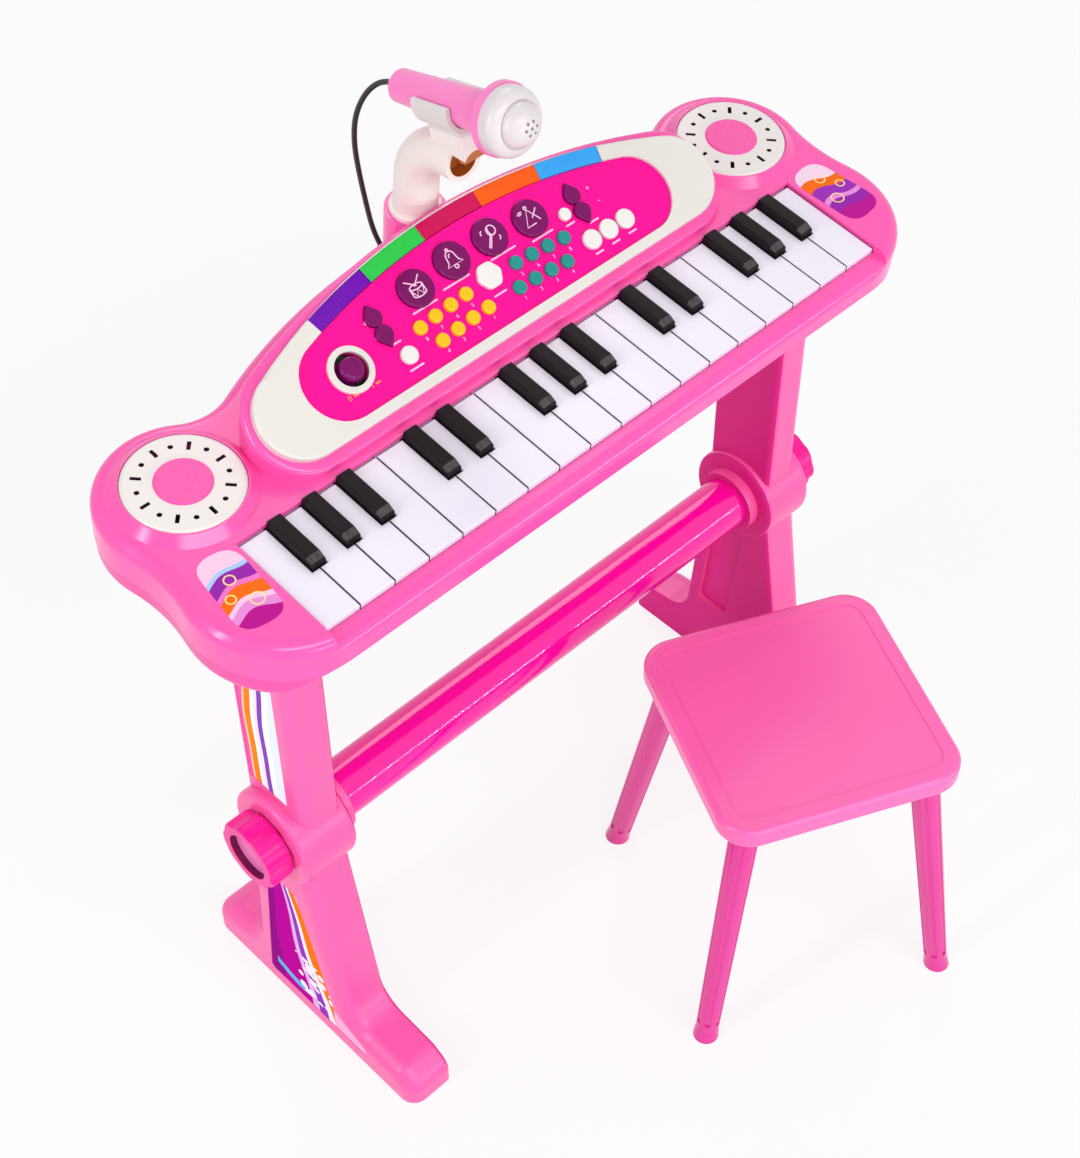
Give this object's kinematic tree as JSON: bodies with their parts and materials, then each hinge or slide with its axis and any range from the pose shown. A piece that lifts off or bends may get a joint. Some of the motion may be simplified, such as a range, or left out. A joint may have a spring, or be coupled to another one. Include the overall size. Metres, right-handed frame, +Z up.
{
  "type": "toy piano with stand and stool",
  "caption": "Child's toy electronic piano on a legged stand with a crossbar, a raised control panel, a microphone on a holder and a small square stool.",
  "frame": {"origin": "on the floor under the middle of the set's bounding box, without the microphone's cord", "axes": "+X to the player's right along the keyboard, +Y away from the player, +Z up"},
  "size_m": [0.571, 0.4742, 0.6578],
  "materials": {
    "pink_plastic": "satin moulded pink",
    "deep_pink_plastic": "glossy deep pink",
    "magenta_plastic": "glossy hot magenta",
    "ivory_plastic": "glossy ivory white",
    "pale_pink_plastic": "glossy pale pink",
    "white_key": "smooth white",
    "black_key": "satin black",
    "window_plastic": "tinted clear windows in several colours",
    "purple_plastic": "glossy deep purple",
    "yellow_plastic": "glossy yellow",
    "teal_plastic": "glossy teal",
    "white_plastic": "glossy white",
    "board_green": "matte solder mask",
    "grey_rubber": "matte silicone",
    "black_rubber": "satin cord sheath",
    "dark_plastic": "matte dark",
    "steel": "bright steel"
  },
  "bodies": {
    "piano": {"top_case": "pink_plastic", "bottom_case": "pink_plastic", "panel_bezel": "ivory_plastic", "control_panel": "magenta_plastic", "light_windows": "window_plastic", "speaker_grilles": "ivory_plastic", "speaker_drivers": "dark_plastic", "circuit_board": "board_green", "contact_strip": "grey_rubber", "key_pivot_rod": "steel", "battery_door": "pink_plastic", "case_screws": "steel", "mic_holder": "ivory_plastic", "mic_cord": "black_rubber", "stand_posts": "pink_plastic", "stand_feet": "pink_plastic", "crossbar": "magenta_plastic"},
    "white_key_01": {"white_key_01": "white_key"},
    "white_key_02": {"white_key_02": "white_key"},
    "white_key_03": {"white_key_03": "white_key"},
    "white_key_04": {"white_key_04": "white_key"},
    "white_key_05": {"white_key_05": "white_key"},
    "white_key_06": {"white_key_06": "white_key"},
    "white_key_07": {"white_key_07": "white_key"},
    "white_key_08": {"white_key_08": "white_key"},
    "white_key_09": {"white_key_09": "white_key"},
    "white_key_10": {"white_key_10": "white_key"},
    "white_key_11": {"white_key_11": "white_key"},
    "white_key_12": {"white_key_12": "white_key"},
    "white_key_13": {"white_key_13": "white_key"},
    "white_key_14": {"white_key_14": "white_key"},
    "white_key_15": {"white_key_15": "white_key"},
    "white_key_16": {"white_key_16": "white_key"},
    "white_key_17": {"white_key_17": "white_key"},
    "white_key_18": {"white_key_18": "white_key"},
    "black_key_01": {"black_key_01": "black_key"},
    "black_key_02": {"black_key_02": "black_key"},
    "black_key_03": {"black_key_03": "black_key"},
    "black_key_04": {"black_key_04": "black_key"},
    "black_key_05": {"black_key_05": "black_key"},
    "black_key_06": {"black_key_06": "black_key"},
    "black_key_07": {"black_key_07": "black_key"},
    "black_key_08": {"black_key_08": "black_key"},
    "black_key_09": {"black_key_09": "black_key"},
    "black_key_10": {"black_key_10": "black_key"},
    "black_key_11": {"black_key_11": "black_key"},
    "black_key_12": {"black_key_12": "black_key"},
    "black_key_13": {"black_key_13": "black_key"},
    "picture_pads": {"picture_pads": "purple_plastic"},
    "yellow_buttons": {"yellow_buttons": "yellow_plastic"},
    "teal_buttons": {"teal_buttons": "teal_plastic"},
    "white_buttons": {"white_buttons": "white_plastic"},
    "leaf_buttons": {"leaf_buttons": "purple_plastic"},
    "power_slider": {"power_slider": "purple_plastic"},
    "microphone": {"mic_body": "pale_pink_plastic", "mic_head": "ivory_plastic"},
    "left_knob": {"left_knob": "magenta_plastic"},
    "right_knob": {"right_knob": "magenta_plastic"},
    "stool": {"stool_seat": "pink_plastic", "stool_legs": "deep_pink_plastic"}
  },
  "joints": [
    {"name": "white_key_01_press", "type": "hinge", "parent": "piano", "child": "white_key_01", "pos_m": [0, 0.09813, 0.46897], "axis": [1, 0, 0], "range_deg": [0, 3.2], "stiffness_Nm_per_rad": 1, "springref_deg": -2.86},
    {"name": "white_key_02_press", "type": "hinge", "parent": "piano", "child": "white_key_02", "pos_m": [0, 0.09813, 0.46897], "axis": [1, 0, 0], "range_deg": [0, 3.2], "stiffness_Nm_per_rad": 1, "springref_deg": -2.86},
    {"name": "white_key_03_press", "type": "hinge", "parent": "piano", "child": "white_key_03", "pos_m": [0, 0.09813, 0.46897], "axis": [1, 0, 0], "range_deg": [0, 3.2], "stiffness_Nm_per_rad": 1, "springref_deg": -2.86},
    {"name": "white_key_04_press", "type": "hinge", "parent": "piano", "child": "white_key_04", "pos_m": [0, 0.09813, 0.46897], "axis": [1, 0, 0], "range_deg": [0, 3.2], "stiffness_Nm_per_rad": 1, "springref_deg": -2.86},
    {"name": "white_key_05_press", "type": "hinge", "parent": "piano", "child": "white_key_05", "pos_m": [0, 0.09813, 0.46897], "axis": [1, 0, 0], "range_deg": [0, 3.2], "stiffness_Nm_per_rad": 1, "springref_deg": -2.86},
    {"name": "white_key_06_press", "type": "hinge", "parent": "piano", "child": "white_key_06", "pos_m": [0, 0.09813, 0.46897], "axis": [1, 0, 0], "range_deg": [0, 3.2], "stiffness_Nm_per_rad": 1, "springref_deg": -2.86},
    {"name": "white_key_07_press", "type": "hinge", "parent": "piano", "child": "white_key_07", "pos_m": [0, 0.09813, 0.46897], "axis": [1, 0, 0], "range_deg": [0, 3.2], "stiffness_Nm_per_rad": 1, "springref_deg": -2.86},
    {"name": "white_key_08_press", "type": "hinge", "parent": "piano", "child": "white_key_08", "pos_m": [0, 0.09813, 0.46897], "axis": [1, 0, 0], "range_deg": [0, 3.2], "stiffness_Nm_per_rad": 1, "springref_deg": -2.86},
    {"name": "white_key_09_press", "type": "hinge", "parent": "piano", "child": "white_key_09", "pos_m": [0, 0.09813, 0.46897], "axis": [1, 0, 0], "range_deg": [0, 3.2], "stiffness_Nm_per_rad": 1, "springref_deg": -2.86},
    {"name": "white_key_10_press", "type": "hinge", "parent": "piano", "child": "white_key_10", "pos_m": [0, 0.09813, 0.46897], "axis": [1, 0, 0], "range_deg": [0, 3.2], "stiffness_Nm_per_rad": 1, "springref_deg": -2.86},
    {"name": "white_key_11_press", "type": "hinge", "parent": "piano", "child": "white_key_11", "pos_m": [0, 0.09813, 0.46897], "axis": [1, 0, 0], "range_deg": [0, 3.2], "stiffness_Nm_per_rad": 1, "springref_deg": -2.86},
    {"name": "white_key_12_press", "type": "hinge", "parent": "piano", "child": "white_key_12", "pos_m": [0, 0.09813, 0.46897], "axis": [1, 0, 0], "range_deg": [0, 3.2], "stiffness_Nm_per_rad": 1, "springref_deg": -2.86},
    {"name": "white_key_13_press", "type": "hinge", "parent": "piano", "child": "white_key_13", "pos_m": [0, 0.09813, 0.46897], "axis": [1, 0, 0], "range_deg": [0, 3.2], "stiffness_Nm_per_rad": 1, "springref_deg": -2.86},
    {"name": "white_key_14_press", "type": "hinge", "parent": "piano", "child": "white_key_14", "pos_m": [0, 0.09813, 0.46897], "axis": [1, 0, 0], "range_deg": [0, 3.2], "stiffness_Nm_per_rad": 1, "springref_deg": -2.86},
    {"name": "white_key_15_press", "type": "hinge", "parent": "piano", "child": "white_key_15", "pos_m": [0, 0.09813, 0.46897], "axis": [1, 0, 0], "range_deg": [0, 3.2], "stiffness_Nm_per_rad": 1, "springref_deg": -2.86},
    {"name": "white_key_16_press", "type": "hinge", "parent": "piano", "child": "white_key_16", "pos_m": [0, 0.09813, 0.46897], "axis": [1, 0, 0], "range_deg": [0, 3.2], "stiffness_Nm_per_rad": 1, "springref_deg": -2.86},
    {"name": "white_key_17_press", "type": "hinge", "parent": "piano", "child": "white_key_17", "pos_m": [0, 0.09813, 0.46897], "axis": [1, 0, 0], "range_deg": [0, 3.2], "stiffness_Nm_per_rad": 1, "springref_deg": -2.86},
    {"name": "white_key_18_press", "type": "hinge", "parent": "piano", "child": "white_key_18", "pos_m": [0, 0.09813, 0.46897], "axis": [1, 0, 0], "range_deg": [0, 3.2], "stiffness_Nm_per_rad": 1, "springref_deg": -2.86},
    {"name": "black_key_01_press", "type": "hinge", "parent": "piano", "child": "black_key_01", "pos_m": [0, 0.09813, 0.46897], "axis": [1, 0, 0], "range_deg": [0, 3.2], "stiffness_Nm_per_rad": 1, "springref_deg": -2.86},
    {"name": "black_key_02_press", "type": "hinge", "parent": "piano", "child": "black_key_02", "pos_m": [0, 0.09813, 0.46897], "axis": [1, 0, 0], "range_deg": [0, 3.2], "stiffness_Nm_per_rad": 1, "springref_deg": -2.86},
    {"name": "black_key_03_press", "type": "hinge", "parent": "piano", "child": "black_key_03", "pos_m": [0, 0.09813, 0.46897], "axis": [1, 0, 0], "range_deg": [0, 3.2], "stiffness_Nm_per_rad": 1, "springref_deg": -2.86},
    {"name": "black_key_04_press", "type": "hinge", "parent": "piano", "child": "black_key_04", "pos_m": [0, 0.09813, 0.46897], "axis": [1, 0, 0], "range_deg": [0, 3.2], "stiffness_Nm_per_rad": 1, "springref_deg": -2.86},
    {"name": "black_key_05_press", "type": "hinge", "parent": "piano", "child": "black_key_05", "pos_m": [0, 0.09813, 0.46897], "axis": [1, 0, 0], "range_deg": [0, 3.2], "stiffness_Nm_per_rad": 1, "springref_deg": -2.86},
    {"name": "black_key_06_press", "type": "hinge", "parent": "piano", "child": "black_key_06", "pos_m": [0, 0.09813, 0.46897], "axis": [1, 0, 0], "range_deg": [0, 3.2], "stiffness_Nm_per_rad": 1, "springref_deg": -2.86},
    {"name": "black_key_07_press", "type": "hinge", "parent": "piano", "child": "black_key_07", "pos_m": [0, 0.09813, 0.46897], "axis": [1, 0, 0], "range_deg": [0, 3.2], "stiffness_Nm_per_rad": 1, "springref_deg": -2.86},
    {"name": "black_key_08_press", "type": "hinge", "parent": "piano", "child": "black_key_08", "pos_m": [0, 0.09813, 0.46897], "axis": [1, 0, 0], "range_deg": [0, 3.2], "stiffness_Nm_per_rad": 1, "springref_deg": -2.86},
    {"name": "black_key_09_press", "type": "hinge", "parent": "piano", "child": "black_key_09", "pos_m": [0, 0.09813, 0.46897], "axis": [1, 0, 0], "range_deg": [0, 3.2], "stiffness_Nm_per_rad": 1, "springref_deg": -2.86},
    {"name": "black_key_10_press", "type": "hinge", "parent": "piano", "child": "black_key_10", "pos_m": [0, 0.09813, 0.46897], "axis": [1, 0, 0], "range_deg": [0, 3.2], "stiffness_Nm_per_rad": 1, "springref_deg": -2.86},
    {"name": "black_key_11_press", "type": "hinge", "parent": "piano", "child": "black_key_11", "pos_m": [0, 0.09813, 0.46897], "axis": [1, 0, 0], "range_deg": [0, 3.2], "stiffness_Nm_per_rad": 1, "springref_deg": -2.86},
    {"name": "black_key_12_press", "type": "hinge", "parent": "piano", "child": "black_key_12", "pos_m": [0, 0.09813, 0.46897], "axis": [1, 0, 0], "range_deg": [0, 3.2], "stiffness_Nm_per_rad": 1, "springref_deg": -2.86},
    {"name": "black_key_13_press", "type": "hinge", "parent": "piano", "child": "black_key_13", "pos_m": [0, 0.09813, 0.46897], "axis": [1, 0, 0], "range_deg": [0, 3.2], "stiffness_Nm_per_rad": 1, "springref_deg": -2.86},
    {"name": "picture_pads_press", "type": "slide", "parent": "piano", "child": "picture_pads", "axis": [0, 0.5677, -0.8232], "range_m": [0, 0.001], "stiffness_N_per_m": 800, "springref_m": -0.001},
    {"name": "yellow_buttons_press", "type": "slide", "parent": "piano", "child": "yellow_buttons", "axis": [0, 0.5677, -0.8232], "range_m": [0, 0.001], "stiffness_N_per_m": 800, "springref_m": -0.001},
    {"name": "teal_buttons_press", "type": "slide", "parent": "piano", "child": "teal_buttons", "axis": [0, 0.5677, -0.8232], "range_m": [0, 0.001], "stiffness_N_per_m": 800, "springref_m": -0.001},
    {"name": "white_buttons_press", "type": "slide", "parent": "piano", "child": "white_buttons", "axis": [0, 0.5677, -0.8232], "range_m": [0, 0.001], "stiffness_N_per_m": 800, "springref_m": -0.001},
    {"name": "leaf_buttons_press", "type": "slide", "parent": "piano", "child": "leaf_buttons", "axis": [0, 0.5677, -0.8232], "range_m": [0, 0.001], "stiffness_N_per_m": 800, "springref_m": -0.001},
    {"name": "power_slide", "type": "slide", "parent": "piano", "child": "power_slider", "axis": [1, 0, 0], "range_m": [-0.0026, 0.0026]},
    {"name": "microphone_lift", "type": "slide", "parent": "piano", "child": "microphone", "axis": [0, 0.2419, 0.9703], "range_m": [0, 0.08]},
    {"name": "left_knob_turn", "type": "hinge", "parent": "piano", "child": "left_knob", "pos_m": [-0.247, 0.08282, 0.204], "axis": [1, 0, 0], "continuous": true},
    {"name": "right_knob_turn", "type": "hinge", "parent": "piano", "child": "right_knob", "pos_m": [0.247, 0.08282, 0.204], "axis": [1, 0, 0], "continuous": true},
    {"name": "stool_slide", "type": "slide", "parent": "piano", "child": "stool", "axis": [0, -1, 0], "range_m": [0, 0.15]}
  ]
}
